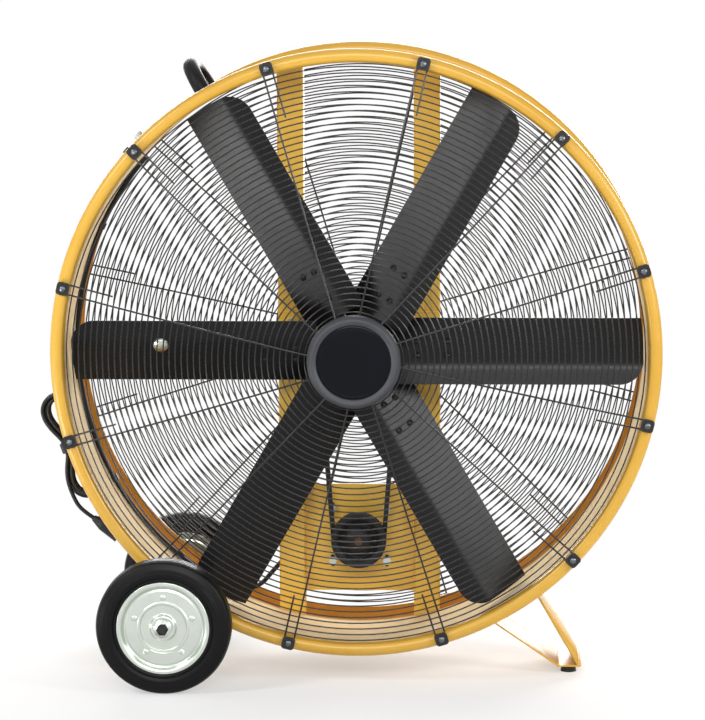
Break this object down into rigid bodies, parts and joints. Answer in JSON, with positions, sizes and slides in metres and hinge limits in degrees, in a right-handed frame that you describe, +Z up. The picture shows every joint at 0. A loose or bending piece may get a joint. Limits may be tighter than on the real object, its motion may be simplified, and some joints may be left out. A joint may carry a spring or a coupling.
{
  "type": "air circulator fan",
  "caption": "Wheeled drum air circulator: a belt-driven blade rotor in a round steel drum behind domed wire guards, with a bail handle, a bent stand and a tied cord.",
  "frame": {"origin": "on the floor, below the middle of the drum", "axes": "+Z up, the side the air leaves (front) towards -Y, the wheels towards -X"},
  "size_m": [1.1696, 0.561, 1.1808],
  "materials": {
    "black_paint": "satin black paint",
    "black_plastic": "matt black plastic",
    "black_wire": "semi-gloss black coated wire",
    "brass": "bright brass",
    "cap_black": "dark grey-black moulded plastic",
    "cap_navy": "smooth near-black plastic",
    "cast": "machined and painted cast iron",
    "grey_plastic": "pale grey plastic",
    "motor_paint": "dark grey enamel",
    "rubber": "matt black rubber",
    "steel": "ground steel",
    "tyre": "matt black solid rubber",
    "yellow_paint": "glossy golden yellow powder paint",
    "zinc": "bright zinc plate"
  },
  "bodies": {
    "frame": {"axle": "steel", "axle_bolts": "zinc", "axle_bracket": "yellow_paint", "axle_spacers": "steel", "bearing_bridge": "yellow_paint", "bearing_housing": "cast", "bearings": "steel", "cable_clips": "black_plastic", "cap_bezel": "cap_black", "cap_disc": "cap_navy", "cap_screws": "zinc", "clip_bolts": "black_wire", "cord_gland": "rubber", "cord_hank": "rubber", "cord_hook": "black_wire", "cord_lead": "rubber", "cord_tail": "rubber", "cord_tie": "black_plastic", "drum_bolts": "zinc", "drum_shell": "yellow_paint", "frame_bolts": "zinc", "front_grille": "black_wire", "front_rim": "yellow_paint", "guard_backplates": "motor_paint", "guard_clips": "black_wire", "handle": "black_wire", "left_channel": "yellow_paint", "motor_cable": "rubber", "motor_flange": "motor_paint", "motor_plate": "yellow_paint", "motor_shell": "motor_paint", "plug_body": "rubber", "plug_prongs": "brass", "rear_centre_disc": "cap_black", "rear_grille": "black_wire", "rear_rim": "yellow_paint", "right_channel": "yellow_paint", "rubber_feet": "rubber", "stand": "yellow_paint", "switch_box": "black_plastic", "v_belt": "rubber"},
    "rotor": {"blade_1": "black_paint", "blade_2": "black_paint", "blade_3": "black_paint", "blade_4": "black_paint", "blade_5": "black_paint", "blade_6": "black_paint", "blade_rivets": "steel", "spider_hub": "cast", "balance_weight": "steel", "fan_shaft": "steel", "fan_pulley": "cast"},
    "motor_rotor": {"motor_pulley": "cast", "motor_shaft": "steel"},
    "front_wheel": {"front_tyre": "tyre", "front_wheel_hub": "zinc"},
    "rear_wheel": {"rear_tyre": "tyre", "rear_wheel_hub": "zinc"},
    "knob": {"switch_knob": "grey_plastic"}
  },
  "joints": [
    {"name": "fan_spin", "type": "hinge", "parent": "frame", "child": "rotor", "pos_m": [0, 0, 0.616], "axis": [0, 1, 0], "continuous": true},
    {"name": "motor_spin", "type": "hinge", "parent": "frame", "child": "motor_rotor", "pos_m": [0, 0, 0.242], "axis": [0, 1, 0], "continuous": true},
    {"name": "front_wheel_spin", "type": "hinge", "parent": "frame", "child": "front_wheel", "pos_m": [-0.351, -0.24, 0.125], "axis": [0, 1, 0], "continuous": true},
    {"name": "rear_wheel_spin", "type": "hinge", "parent": "frame", "child": "rear_wheel", "pos_m": [-0.351, 0.24, 0.125], "axis": [0, 1, 0], "continuous": true},
    {"name": "knob_turn", "type": "hinge", "parent": "frame", "child": "knob", "pos_m": [-0.40549, 0, 1.006], "axis": [-0.7431, 0, 0.6691], "range_deg": [0, 90]}
  ],
  "couplings": [
    {"joint": "motor_spin", "follows": "fan_spin", "ratio": 1.5714}
  ]
}
